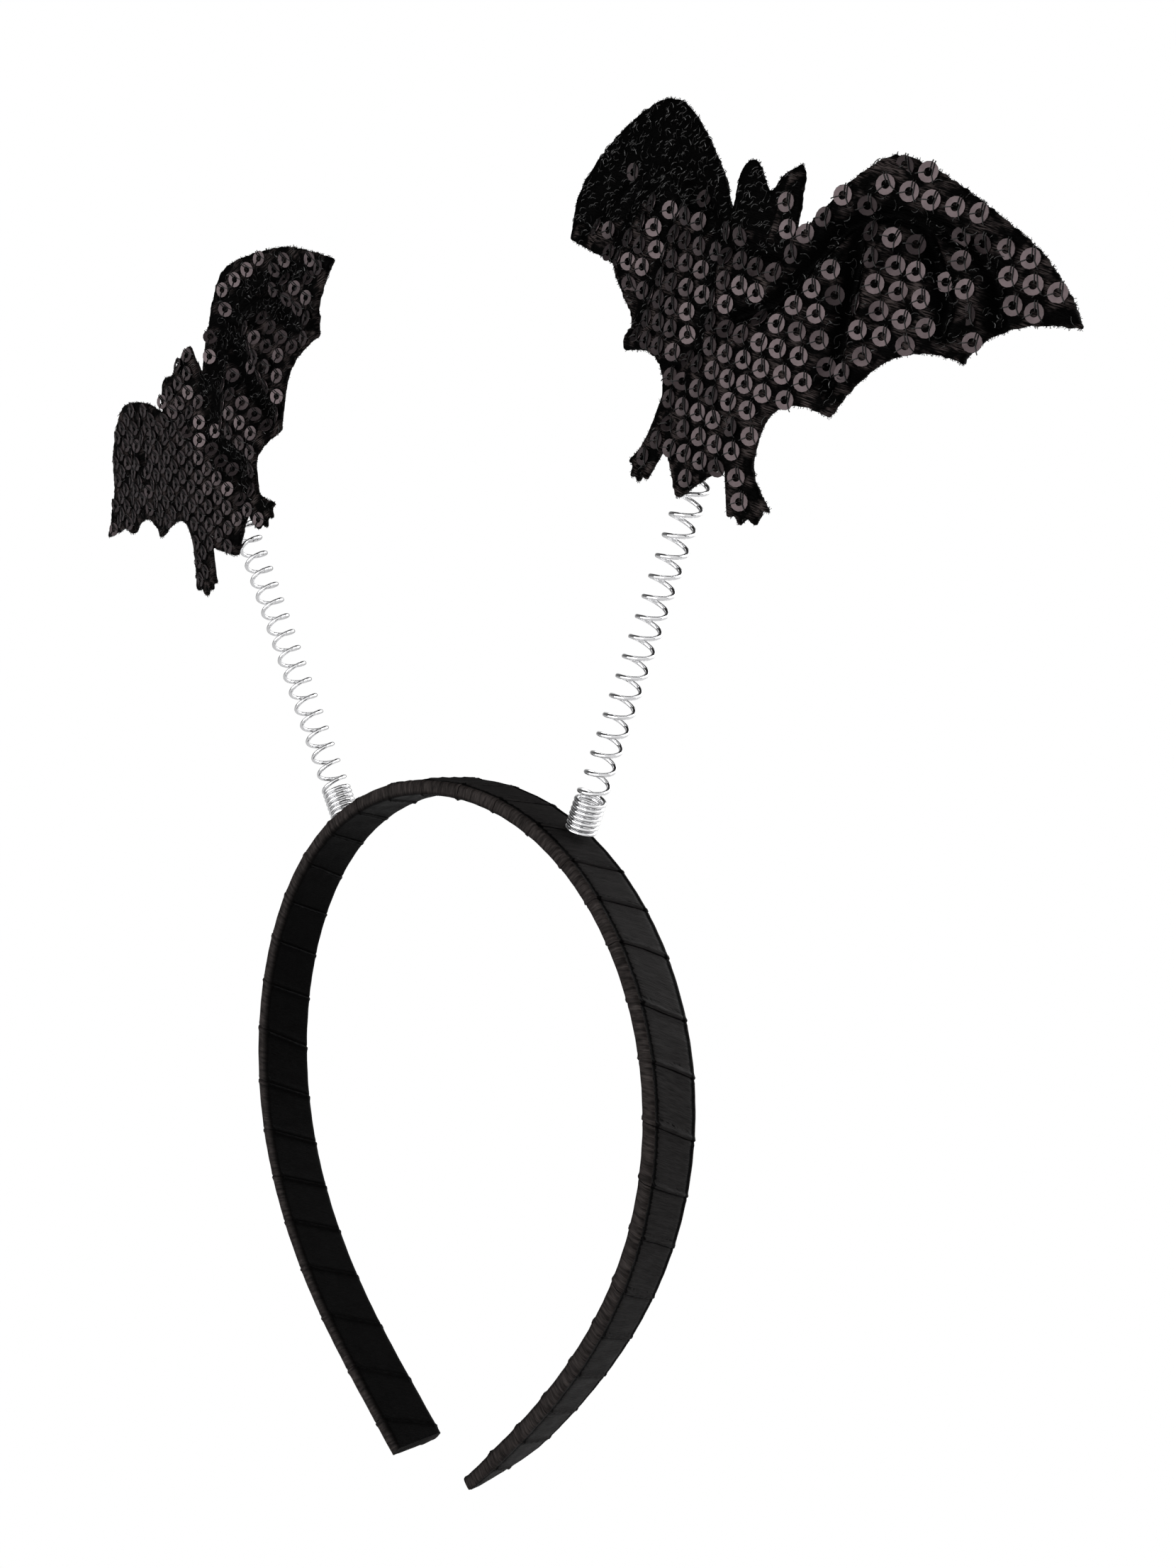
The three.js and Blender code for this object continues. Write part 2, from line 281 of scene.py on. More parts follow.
def half_arch(column):
    middle = (np.arange(int(ARCH_REACH / ARCH_STEP)) + 0.5) * ARCH_STEP
    share = middle / BAND_HALF
    bend = np.radians(np.interp(share, BEND_SHARES, BENDS[column])) / BEND_RUN * ARCH_STEP
    turn = np.concatenate([[0], np.cumsum(bend)])
    halfway = turn[:-1] + bend / 2
    out = np.concatenate([[0], np.cumsum(np.cos(halfway) * ARCH_STEP)])
    drop = np.concatenate([[0], np.cumsum(np.sin(halfway) * ARCH_STEP)])
    return out, drop, turn


ARCHES = {column: half_arch(column) for column in SIDES}
ARCH_ARCS = np.arange(len(ARCHES["left"][0])) * ARCH_STEP


def on_arch(arc, across, out, thick=BAND_THICK):
    """Places in millimetres at arc lengths along the outer face, offsets across the band and out of it."""
    arc, across, out = np.broadcast_arrays(np.asarray(arc, float), across, out)
    length = np.abs(arc)
    side = np.where(arc < 0, -1.0, 1.0)
    rows = []
    for i in range(3):
        left, right = (np.interp(length, ARCH_ARCS, ARCHES[column][i]) for column in SIDES)
        rows.append(np.where(arc < 0, left, right))
    reach, drop, turn = rows
    x = side * (reach + np.sin(turn) * out)
    z = thick - drop + np.cos(turn) * out
    return np.stack([x, across, z], axis=-1)


def stand_matrix(name):
    stand = STANDS[name]
    foot = on_arch(stand["side"] * stand["arc"], 0, 0)
    place = Matrix.Translation((foot[0] * MM, stand["y"] * MM, foot[2] * MM))
    lean = Matrix.Rotation(math.radians(stand["side"] * stand["lean"]), 4, "Y")
    forward = Matrix.Rotation(math.radians(stand["forward"]), 4, "X")
    return place @ lean @ forward


def bat_matrix(name):
    bat = BATS[name]
    return stand_matrix(name) @ Matrix.Translation((bat["shift"] * MM, -BAT_SEAT * MM, bat["rise"] * MM))


# Shader node helpers

class Nodes:
    """A node tree that is written row by row."""

    def __init__(self, tree):
        self.tree = tree
        tree.nodes.clear()

    def add(self, kind, values=None, **settings):
        node = self.tree.nodes.new(kind)
        for name, value in settings.items():
            setattr(node, name, value)
        for name, value in (values or {}).items():
            if isinstance(value, bpy.types.NodeSocket):
                self.tree.links.new(value, node.inputs[name])
            else:
                node.inputs[name].default_value = value
        return node

    def math(self, operation, a, b=0.0, clamp=False):
        return self.add("ShaderNodeMath", {0: a, 1: b}, operation=operation, use_clamp=clamp).outputs[0]

    def span(self, value, low, high, to_low=0.0, to_high=1.0):
        values = {"Value": value, "From Min": low, "From Max": high, "To Min": to_low, "To Max": to_high}
        return self.add("ShaderNodeMapRange", values, clamp=True).outputs["Result"]

    def mix(self, fac, a, b):
        return self.add("ShaderNodeMix", {0: fac, 6: a, 7: b}, data_type="RGBA").outputs[2]

    def blend(self, fac, a, b):
        """Shader between two others."""
        return self.add("ShaderNodeMixShader", {0: fac, 1: a.outputs[0], 2: b.outputs[0]})

    def vectors(self, operation, a, b):
        return self.add("ShaderNodeVectorMath", {0: a, 1: b}, operation=operation).outputs

    def place(self):
        return self.add("ShaderNodeTexCoord").outputs["Object"]

    def stored(self, name):
        return self.add("ShaderNodeAttribute", attribute_name=name).outputs["Fac"]

    def chart(self, name):
        return self.add("ShaderNodeUVMap", uv_map=name).outputs["UV"]

    def noise(self, vector, scale, detail=2.0, roughness=0.5):
        values = {"Vector": vector, "Scale": scale, "Detail": detail, "Roughness": roughness}
        return self.add("ShaderNodeTexNoise", values).outputs["Fac"]


BLACK = (0.0006, 0.0005, 0.0005, 1.0)
WHITE = (1.0, 1.0, 1.0, 1.0)


def colour(value, share=1.0):
    return (*(share * part for part in value), 1.0)


def new_material(name):
    material = bpy.data.materials.new(name)
    material.use_nodes = True
    return material, Nodes(material.node_tree)


def finish_material(nodes, values, bump=None, strength=0.3, distance=0.0002):
    """Principled surface with constants set on its own sockets and an optional bump from a height."""
    if bump is not None:
        heights = {"Height": bump, "Strength": strength, "Distance": distance}
        values = {**values, "Normal": nodes.add("ShaderNodeBump", heights).outputs["Normal"]}
    shader = nodes.add("ShaderNodeBsdfPrincipled", values)
    nodes.add("ShaderNodeOutputMaterial", {"Surface": shader.outputs["BSDF"]})


def thread_group():
    """Fine parallel threads on a flat pattern map, as a height and a tone."""
    name = "Parallel threads"
    if name in bpy.data.node_groups:
        return bpy.data.node_groups[name]
    group = bpy.data.node_groups.new(name, "ShaderNodeTree")
    face = group.interface
    face.new_socket("Map", in_out="INPUT", socket_type="NodeSocketVector")
    run = face.new_socket("Run", in_out="INPUT", socket_type="NodeSocketFloat")
    pitch = face.new_socket("Pitch", in_out="INPUT", socket_type="NodeSocketFloat")
    run.default_value, pitch.default_value = 30.0, 250.0
    face.new_socket("Height", in_out="OUTPUT", socket_type="NodeSocketFloat")
    face.new_socket("Tone", in_out="OUTPUT", socket_type="NodeSocketFloat")
    nodes = Nodes(group)
    given = nodes.add("NodeGroupInput")
    sizes = {"X": given.outputs["Run"], "Y": given.outputs["Pitch"], "Z": 1.0}
    scale = nodes.add("ShaderNodeCombineXYZ", sizes)
    spread = nodes.vectors("MULTIPLY", given.outputs["Map"], scale.outputs[0])["Vector"]
    lines = nodes.noise(spread, 1.0, 1.0)
    broad = nodes.noise(spread, 0.22, 2.0)
    height = nodes.span(lines, 0.42, 0.58)
    both = nodes.math("ADD", nodes.math("MULTIPLY", lines, 0.6), nodes.math("MULTIPLY", broad, 0.4))
    tone = nodes.span(both, 0.36, 0.64)
    nodes.add("NodeGroupOutput", {"Height": height, "Tone": tone})
    return group


def threads(nodes, vector, run, pitch):
    node = nodes.add("ShaderNodeGroup", node_tree=thread_group())
    nodes.tree.links.new(vector, node.inputs["Map"])
    node.inputs["Run"].default_value = run
    node.inputs["Pitch"].default_value = pitch
    return node.outputs["Height"], node.outputs["Tone"]


def ribbon_material(settings):
    material, nodes = new_material("black satin ribbon")
    pattern = nodes.chart("Ribbon")
    grain, tone = threads(nodes, pattern, 40.0, 620.0)
    # Painted light and shade: the outer faces are painted lighter than the inner faces
    base = nodes.mix(nodes.stored("outer"), colour(settings.colour), colour(settings.lit_face_colour))
    ribs = nodes.noise(nodes.vectors("MULTIPLY", pattern, (30, 150, 1))["Vector"], 1.0, 2.0)
    # Ribbed grain along the band's edges, in a lighter colour that is painted sheen
    ribbed = nodes.mix(nodes.span(ribs, 0.35, 0.65, 0.3, 1.0), BLACK, colour(settings.edge_sheen_colour))
    base = nodes.mix(nodes.stored("bead"), base, ribbed)
    base = nodes.mix(nodes.span(tone, 0.0, 1.0, 0.4, 1.0), BLACK, base)
    # Painted shade: black along the bead groove, at the lap steps and in the gathers, with a ragged rim from
    # the ribs
    ragged = nodes.math("ADD", nodes.stored("groove"), nodes.span(ribs, 0.35, 0.65, -0.25, 0.25))
    base = nodes.mix(nodes.span(ragged, 0.35, 0.6), base, BLACK)
    rough = nodes.span(nodes.noise(pattern, 22.0, 3.0), 0.3, 0.7, 0.42, 0.56)
    finish_material(nodes, {
        "Base Color": base, "Roughness": rough, "Specular IOR Level": 0.03,
    }, bump=grain, strength=0.35, distance=0.00012)
    return material


def steel_material(settings):
    material, nodes = new_material("bright plated wire")
    drawn = nodes.noise(nodes.place(), 1400.0, 3.0)
    tint = nodes.mix(nodes.span(drawn, 0.35, 0.75), colour(settings.colour), colour(settings.colour, 0.9))
    finish_material(nodes, {"Base Color": tint, "Metallic": 1.0, "Roughness": 0.0}, bump=drawn, strength=0.05)
    return material


def cloth_material(settings):
    """Hatched cloth: its threads painted with sheen in lit patches and painted in shade along its sewn lines
    and above its bare line in front, plain on its back.
    """
    material, nodes = new_material("sequin cloth")
    pattern = nodes.chart("Cloth")
    hatch, tone = threads(nodes, pattern, 55.0, 470.0)
    # Painted light: the threads take their sheen colour in noisy lit patches
    patches = nodes.span(nodes.noise(pattern, 30.0, 3.0), 0.47, 0.62)
    lift = nodes.math("MULTIPLY", hatch, patches)
    # Painted shade: the thread sheen is taken out along the sewn lines and above the bare line
    lift = nodes.math("MULTIPLY", lift, nodes.span(nodes.stored("sewn"), 0.1, 0.7, 1.0, 0.0))
    back = nodes.stored("back")
    plain = nodes.math("MULTIPLY", hatch, nodes.span(back, 0.3, 0.7, 0.0, 0.4))
    lift = nodes.math("MULTIPLY", lift, nodes.span(back, 0.3, 0.7, 1.0, 0.0))
    lift = nodes.math("MAXIMUM", plain, lift)
    base = nodes.mix(lift, colour(settings.cloth_colour), colour(settings.weave_and_sheen_colour))
    rough = nodes.span(tone, 0.0, 1.0, 0.6, 0.45)
    finish_material(nodes, {
        "Base Color": base, "Roughness": rough, "Specular IOR Level": 0.02,
    }, bump=hatch, strength=0.6, distance=0.00015)
    return material


def sequin_material(settings):
    material, nodes = new_material("dusty sequin")
    dust = nodes.noise(nodes.place(), 900.0, 3.0)
    dark, light = (colour(settings.sequin_colour, share) for share in (0.45, 1.35))
    base = nodes.mix(nodes.stored("tone"), dark, light)
    base = nodes.mix(nodes.span(dust, 0.55, 0.8, 0.0, 0.3), base, colour(settings.dust_colour))
    finish_material(nodes, {
        "Base Color": base, "Roughness": nodes.span(dust, 0.3, 0.7, 0.35, 0.44), "Specular IOR Level": 0.75,
        "Specular Tint": colour((1.0, 0.79, 0.82)),
    }, bump=dust, strength=0.08)
    return material


def thread_material(name, base_colour, shine):
    material, nodes = new_material(name)
    twist = nodes.noise(nodes.place(), 2600.0, 2.0)
    base = nodes.mix(twist, colour(base_colour, 0.6), colour(base_colour, 1.4))
    finish_material(nodes, {
        "Base Color": base, "Roughness": nodes.span(twist, 0.3, 0.7, 0.4, 0.6), "Specular IOR Level": shine,
    }, bump=twist, strength=0.3)
    return material


# Ribbon-wound band

# One lap of the ribbon: place along the band in millimetres, and height in parts of the selvedge's
LAP_PROFILE = (
    (0.0, -0.3), (0.1, -0.28), (0.24, -0.14), (0.42, 0.04), (0.65, 0.12), (0.9, 0.06), (1.25, -0.06),
    (1.8, -0.1), (2.8, -0.06), (4.0, -0.02), (5.4, 0.02), (6.8, 0.06), (8.2, 0.1), (9.2, 0.12), (9.8, 0.1),
    (10.15, 0.22), (10.4, 0.55), (10.6, 0.9), (10.8, 1.0), (10.95, 0.9), (11.08, 0.55), (11.16, 0.1),
)
LAP_ROWS, LAP_HEIGHTS = zip(*LAP_PROFILE)

# Places of the laps at the middle of the outer face, in millimetres along the band
LAPS = (-212, -200.8, -189.5, -175.5, -162.1, -150.3, -139.1, -128.5, -117.3, -105.5, -92.6, -81.5, -70.1,
        -59.1, -46.6, -35.2, -23.7, -12.3, -0.9, 10.6, 22.0, 33.5, 44.9, 54.3, 63.9, 76.7, 87.3, 99.3, 110.7,
        121.3, 133.9, 144.8, 156.5, 169.0, 180.2, 191.5, 202.7, 214)

# Parts of a lap that pucker, and the gathers and lap step that are painted in shade: middle within the lap and
# reach, in millimetres
SELVEDGE = (10.75, 0.6)
UNDERLAP = (0.65, 0.5)
GATHER = (9.9, 0.5)
STEP = (0.0, 0.4)

# Waves along the ribbon: period in millimetres and phase
FINE_PUCKER = (0.93, 0.4)
BROAD_PUCKER = (2.3, 1.7)
UNDER_PUCKER = (1.1, 2.9)
SLACK = (13.0, 0.9)
GATHER_WAVE = (1.4, 2.2)

# Heights of those waves in millimetres, the painted shade in the gathers, how far the edges are flattened, and
# how much less painted shade the edges get
SELVEDGE_PUCKER = 0.09
UNDERLAP_PUCKER = 0.04
SLACK_HEIGHT = 0.05
GATHER_SHADE = 0.62
EDGE_FLATTEN = 0.5
EDGE_SHADE = 0.4

# Section of the band: places of the face's columns, the round corner, the edge, and the bead along it
FACE_COLUMNS = (5.25, 5.1, 4.97, 4.84, 4.7, 4.5, 4.1, 3.55, 3.0, 2.45, 1.9, 1.35, 0.9, 0.45, 0.0)
CORNER = 1.0
CORNER_STEPS = 8
EDGE_STEPS = 4
EDGE_BAND = 1.05
EDGE_SOFT = 0.3
BEAD = 1.25
BEAD_GROOVE = 0.2
BEAD_WIDTH = 0.52
BAND_SMOOTH = 50

# Length of ribbon in one turn round the band, and the size of its flat pattern, in millimetres
TURN_LENGTH = 29.7
PATTERN = 100


def section_columns(settings):
    """Rounded section from the middle of the inner face, all round: across, out, the normal, and the wind."""
    half = settings.width / MM / 2
    thick = settings.thickness / MM
    pitch = settings.pitch / MM
    slant = settings.slant
    rows = []

    def corner(across, out, start):
        for i in range(1, CORNER_STEPS):
            angle = math.radians(start - 90 * i / CORNER_STEPS)
            rows.append((across + CORNER * math.cos(angle), out + CORNER * math.sin(angle),
                         math.cos(angle), math.sin(angle)))

    def edge(across, low, high, facing):
        for i in range(EDGE_STEPS + 1):
            rows.append((across, low + (high - low) * i / EDGE_STEPS, facing, 0.0))

    for a in reversed(FACE_COLUMNS):
        rows.append((-a, -thick, 0.0, -1.0))
    corner(-half + CORNER, -thick + CORNER, -90)
    edge(-half, -thick + CORNER, -CORNER, -1.0)
    corner(-half + CORNER, -CORNER, 180)
    for a in FACE_COLUMNS[:-1]:
        rows.append((-a, 0.0, 0.0, 1.0))
    for a in reversed(FACE_COLUMNS):
        rows.append((a, 0.0, 0.0, 1.0))
    corner(half - CORNER, -CORNER, 90)
    edge(half, -CORNER, -thick + CORNER, 1.0)
    corner(half - CORNER, -thick + CORNER, 0)
    for a in FACE_COLUMNS:
        rows.append((a, -thick, 0.0, -1.0))
    across, out, side, up = np.array(rows).T
    outer = slant * across
    first = -pitch / 2 - slant * across
    last = pitch / 2 - slant * across
    inner = np.where(np.arange(len(rows)) < len(rows) / 2, first, last)
    rise = np.clip((out + thick - CORNER) / (thick - 2 * CORNER), 0, 1)
    wind = (inner * (1 - rise) + outer * rise) / pitch
    return across, out, side, up, wind


def ripple(length, period, seed):
    """Uneven wave along a length."""
    drift = 1.9 * np.sin(length * 0.71 / period + seed) + 1.3 * np.sin(length * 0.23 / period + 2 * seed)
    return np.sin(2 * np.pi * length / period + drift)


def near(within, middle, reach):
    return np.clip(1 - np.abs(within - middle) / reach, 0, 1)


def lap_height(ribbon, within, settings):
    """Height of the wound ribbon over the plain band in millimetres, with its puckers."""
    pitch = settings.pitch / MM
    height = np.interp(within, LAP_ROWS + (pitch,), LAP_HEIGHTS + (LAP_HEIGHTS[0],)) * settings.selvedge / MM
    pucker = ripple(ribbon, *FINE_PUCKER) + 0.6 * ripple(ribbon, *BROAD_PUCKER)
    height = height + SELVEDGE_PUCKER * near(within, *SELVEDGE) * pucker
    height = height + UNDERLAP_PUCKER * near(within, *UNDERLAP) * ripple(ribbon, *UNDER_PUCKER)
    return height + SLACK_HEIGHT * ripple(ribbon, *SLACK) * np.sin(np.pi * within / pitch)


def with_tongue(arc, a, b, settings):
    """Offsets across and out, narrowed to the folded tongue at the right end."""
    length = TONGUE["length"]
    tongue = np.clip((arc - settings.right_length / MM + length) / length, 0, 1)
    narrow = 1 + (TONGUE["width"] - 1) * tongue ** (1 / TONGUE["ease"])
    thin = 1 + (TONGUE["thick"] - 1) * tongue
    fold = settings.width / MM / 2 * (1 - narrow)
    return a * narrow - fold, b * thin


def chart_ribbon(mesh, girth, lengths):
    """Flat pattern of the ribbon: round the section, and along the band."""
    layer = mesh.uv_layers[0]
    layer.name = "Ribbon"
    maps = np.empty(len(mesh.loops) * 2)
    layer.data.foreach_get("uv", maps)
    maps = maps.reshape(-1, 2)
    for axis, places in enumerate((girth, lengths)):
        count = len(places)
        maps[:, axis] = np.interp(maps[:, axis] * (count - 1), np.arange(count), places) / PATTERN
    layer.data.foreach_set("uv", maps.ravel())


def build_band(settings):
    across, out, side, up, wind = section_columns(settings)
    pitch = settings.pitch / MM
    left, right = -settings.left_length / MM, settings.right_length / MM
    laps = np.arange(len(LAPS))
    turns = (laps[:-1, None] + np.array(LAP_ROWS) / pitch).ravel()
    columns, rows = len(across), len(turns)
    deselect_all()
    bpy.ops.mesh.primitive_grid_add(x_subdivisions=columns - 1, y_subdivisions=rows - 1, size=2)
    band = bpy.context.object
    band.name = band.data.name = "ribbon_band"
    grid = points_of(band)
    column = np.rint((grid[:, 0] + 1) / 2 * (columns - 1)).astype(int)
    row = np.rint((grid[:, 1] + 1) / 2 * (rows - 1)).astype(int)
    a, b, n_side, n_up, w = (values[column] for values in (across, out, side, up, wind))
    arc = np.clip(np.interp(turns[row] + w, laps, LAPS), left, right)
    turn = np.interp(arc, LAPS, laps) - w
    ribbon = (turn + w) * TURN_LENGTH
    within = np.mod(turn, 1.0) * pitch
    half = settings.width / MM / 2
    edge = np.clip((np.abs(a) - half + EDGE_BAND) / EDGE_SOFT, 0, 1)
    height = lap_height(ribbon, within, settings) * (1 - EDGE_FLATTEN * edge)
    # Bead groove: a shallow dip along the outer face, also painted in shade by the material
    groove = np.exp(-(np.abs(np.abs(a) - (half - BEAD)) / BEAD_WIDTH) ** 2) * (n_up > 0.5)
    height = height - BEAD_GROOVE * groove
    a, b = with_tongue(arc, a + n_side * height, b + n_up * height, settings)
    set_points(band, on_arch(arc, a, b, settings.thickness / MM) * MM)
    girth = np.concatenate([[0], np.cumsum(np.hypot(np.diff(across), np.diff(out)))])
    chart_ribbon(band.data, girth, turns * pitch)
    # Painted shade at the lap step and in the gathers, weaker near the edges, kept with the bead groove
    gathers = near(within, *GATHER) * (ripple(ribbon, *GATHER_WAVE) > 0.0)
    step = np.maximum(near(within, *STEP), GATHER_SHADE * gathers) * (1 - EDGE_SHADE * edge)
    store(band.data, bead=edge * np.clip(1 + n_up, 0, 1), outer=n_up > 0.5, groove=np.maximum(groove, step))
    edit_merged(band, 0.01)
    bpy.ops.mesh.select_all(action="DESELECT")
    bpy.ops.mesh.select_non_manifold(extend=False, use_wire=False, use_multi_face=False,
                                     use_non_contiguous=False, use_verts=False)
    bpy.ops.mesh.edge_face_add()
    return face_outwards(band, BAND_SMOOTH)


# Coil springs

# Points in one turn of the wire, and the roundness of its section
WIRE_POINTS = 36
WIRE_ROUND = 4
SPRING_SMOOTH = 50


def build_spring(name, settings):
    closed_turns, wire = settings.closed_turns, settings.wire
    gap = FOOT_GAP * MM
    open_length = settings.length - gap - closed_turns * settings.closed_pitch
    turns = closed_turns + open_length / settings.open_pitch
    turn = np.linspace(0, turns, int(turns * WIRE_POINTS))
    opened = np.clip(turn - closed_turns, 0, None)
    height = gap + np.minimum(turn, closed_turns) * settings.closed_pitch + opened * settings.open_pitch
    outer = settings.stack + (settings.coil - settings.stack) * np.clip(opened, 0, 1)
    radius = (outer - wire) / 2
    angle = turn * 2 * np.pi + math.radians(STANDS[name]["turned"])
    path = np.stack([radius * np.cos(angle), radius * np.sin(angle), height, np.ones_like(turn)], axis=-1)
    curve = bpy.data.curves.new(f"coil_{name}", "CURVE")
    curve.dimensions = "3D"
    curve.bevel_depth = wire / 2
    curve.bevel_resolution = WIRE_ROUND
    curve.use_fill_caps = True
    spline = curve.splines.new("POLY")
    spline.points.add(len(path) - 1)
    spline.points.foreach_set("co", path.ravel())
    coil = bpy.data.objects.new(f"coil_{name}", curve)
    bpy.context.scene.collection.objects.link(coil)
    make_active(coil)
    bpy.ops.object.convert(target="MESH")
    coil = bpy.context.object
    coil.data.transform(stand_matrix(name))
    edit_merged(coil, 0.002)
    return face_outwards(coil, SPRING_SMOOTH)


# Sequin cloth

# Sewn lines of each bat in flat millimetres: depth, width to the left and to the right, and the points
CREASES = {
    "right": (
        (1.8, 1.3, 1.3, ((0, 31), (6.6, 34.9), (10.6, 41.9), (14.8, 50.6), (18.5, 53.8), (22, 55.3),
                         (30, 55.3), (36, 54), (40, 51.5), (42.5, 47.5), (43.5, 44))),
        (1.9, 1.35, 1.35, ((17.5, 53), (18.5, 45), (19.7, 38), (20.5, 33), (21, 26))),
        (1.8, 1.35, 1.35, ((27.5, 54.5), (30.4, 50.5), (32.6, 48.3), (34.8, 44.8), (36, 40))),
        (1.2, 1.8, 1.8, ((-7, 42), (0, 43), (5.5, 43.8))),
        (2.0, 5.0, 2.2, ((-11.4, 43), (-10.1, 36.8), (-8.6, 32), (-7.8, 23))),
        (2.2, 5.5, 2.4, ((-25.5, 47), (-27, 42), (-26.8, 36.5), (-26.5, 32), (-27.5, 24))),
        (1.5, 2.4, 2.4, ((-10, 43), (-22, 50), (-32, 53), (-44, 46), (-52, 36))),
        (1.5, 5.0, 2.4, ((-32, 52), (-38, 44), (-40, 36), (-41, 31))),
    ),
    "left": (
        (2.4, 3.2, 3.0, ((13, 43), (9, 37), (5.2, 31.5), (7.7, 26), (10, 21), (9.6, 16))),
        (2.4, 3.2, 3.0, ((19, 50), (21, 46.6), (20.7, 38.5), (21.4, 33), (23, 27))),
        (2.4, 3.4, 3.2, ((22, 52), (26.4, 51.7), (32.8, 49.5), (35.4, 45.4), (37.5, 41))),
        (1.6, 2.2, 2.2, ((8, 42.5), (13, 43), (17.5, 48.5), (22, 53.5), (26.7, 55.8), (32.4, 55.2),
                         (46, 50))),
        (0.8, 2.0, 2.0, ((-7, 42), (0, 41.5), (6, 42))),
        (0.7, 2.2, 2.2, ((-9, 42), (-16, 44), (-24, 49), (-30, 51), (-42, 45), (-53, 40.5))),
        (0.8, 2.2, 2.2, ((-24, 48), (-27, 38), (-29, 27))),
        (0.8, 2.2, 2.2, ((-30, 50), (-38, 42), (-44, 35))),
    ),
}
FAR = 99.0

# How far from a sewn line its dark thread and painted shade reach, and the depth below which a line counts as
# further off
CREASE_REACH = {"right": 2.2, "left": 3.2}
SHALLOW = 1.1
SHALLOW_AWAY = 3

# Fields between the sewn lines stand proud
PUFF_HEIGHT = 0.15
PUFF_WIDTH = 3.5

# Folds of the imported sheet, which the sewn lines replace: from each wrist to the elbow and the wing's points
FOLDS = {
    "right": (((22.5, 55.4), ((13, 42.5), (56.8, 47.8), (41.2, 36.7), (23.5, 20.9))),
              ((-33.5, 53.6), ((-13, 41.1), (-55.8, 31.9), (-41.2, 31), (-26.6, 17.6)))),
    "left": (((26.5, 54.6), ((13, 40.2), (53.4, 47.3), (42.9, 34.5), (25.3, 21))),
             ((-27.5, 50.4), ((-13, 41), (-59.2, 40.2), (-45.9, 34), (-30.7, 24.6)))),
}
FOLD_DEPTH = 1.3
FOLD_WIDTH = 2.4

# Cloth above this line has lost most of its sequins and is painted in shade
BARE = {
    "right": ((-58, 34), (-43, 38), (-36, 43.5), (-9, 45), (2, 45), (3, 70)),
    "left": ((-60, 70), (60, 70)),
}

# Small changes of the outline between the claws and at the ears: place, move and reach in flat millimetres
NUDGES = {
    "right": ((18.1, 0.7, -0.8, 1.4, 0.85), (15.7, -1.7, -0.2, 1.7, 0.85), (13, -2.1, 0.2, 1.6, 0.85),
              (-14, -1.7, 0.7, 1.4, 0.85), (-11.7, -3.4, 0.1, 1.7, 0.85), (-9.4, -2.8, -0.4, 1.6, 0.85),
              (1.2, 55.4, -0.6, 0.1, 1.8), (5.4, 56.6, 0.3, 0.2, 1.4), (7.6, 47.5, -0.1, -0.6, 2.4)),
    "left": ((15.8, 5.8, -0.9, 1.3, 0.85), (13.4, 3.9, -0.1, 1.7, 0.85), (10.8, 3.5, 0.6, 1.5, 0.85),
             (-19, 3.2, 0.9, 1.3, 0.85), (-15.5, 1.2, 0.1, 1.7, 0.85), (-12.5, 1.3, -0.5, 1.6, 0.85)),
}

# The ears lie above this height and within this distance of the middle, and are smoothed more than the rest
EAR_LINE = 49.0
EAR_REACH = 12.0
SMOOTHING = 4
EAR_SMOOTHING = 18

# Crumple: height in millimetres and two crossed waves, each with its way in x and z, period and phase
CRUMPLES = (
    (0.055, (0.8, 0.6, 6.1, 0.3), (-0.4, 0.9, 7.3, 1.1)),
    (0.035, (1.0, 0.3, 4.0, 2.3), (0.0, 1.0, 3.82, 0.8)),
)

# Ragged cut edge: height in millimetres and two waves that add up
RAGGED = (0.11, (1.0, 0.37, 1.9, 0.2), (-0.41, 1.0, 1.4, 1.9))


def beside_line(x, z, start, end):
    """Offset across from a straight line and distance to it, at flat places."""
    dx, dz = end[0] - start[0], end[1] - start[1]
    share = np.clip(((x - start[0]) * dx + (z - start[1]) * dz) / (dx * dx + dz * dz), 0, 1)
    beside = x - start[0] - share * dx
    return beside, np.hypot(beside, z - start[1] - share * dz)


def creased(name, x, z):
    """Depth of the sewn lines at flat places, and the distance to the nearest line, in millimetres."""
    nearest = np.full(np.shape(x), FAR)
    depth = np.zeros(np.shape(x))
    for deep, left, right, line in CREASES[name]:
        for start, end in zip(line, line[1:]):
            beside, away = beside_line(x, z, start, end)
            width = np.where(beside < 0, left, right)
            depth = np.maximum(depth, deep * np.exp(-(away / width) ** 2))
            nearest = np.minimum(nearest, away if deep > SHALLOW else away + SHALLOW_AWAY)
    return depth, nearest


def folded(name, x, z):
    """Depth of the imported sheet's folds at flat places, in millimetres."""
    nearest = np.full(np.shape(x), FAR)
    for wrist, ends in FOLDS[name]:
        for end in ends:
            away = beside_line(x, z, wrist, end)[1]
            nearest = np.where(x * wrist[0] > 0, np.minimum(nearest, away), nearest)
    return FOLD_DEPTH * np.exp(-(nearest / FOLD_WIDTH) ** 2)


def sewn_at(name, x, z):
    """How far the cloth shows dark sewn thread and painted shade, near the sewn lines and above the bare line,
    from 0 to 1.
    """
    _, seam = creased(name, x, z)
    above = np.clip((z - np.interp(x, *zip(*BARE[name]))) / 2 + 0.5, 0, 1)
    return np.maximum(np.exp(-(seam / CREASE_REACH[name]) ** 2), 0.9 * above)


def wave(x, z, row):
    way_x, way_z, period, phase = row
    return ripple(way_x * x + way_z * z, period, phase)


def flat_points(obj, inverse):
    return points_of(obj) @ inverse[:3, :3].T + inverse[:3, 3]


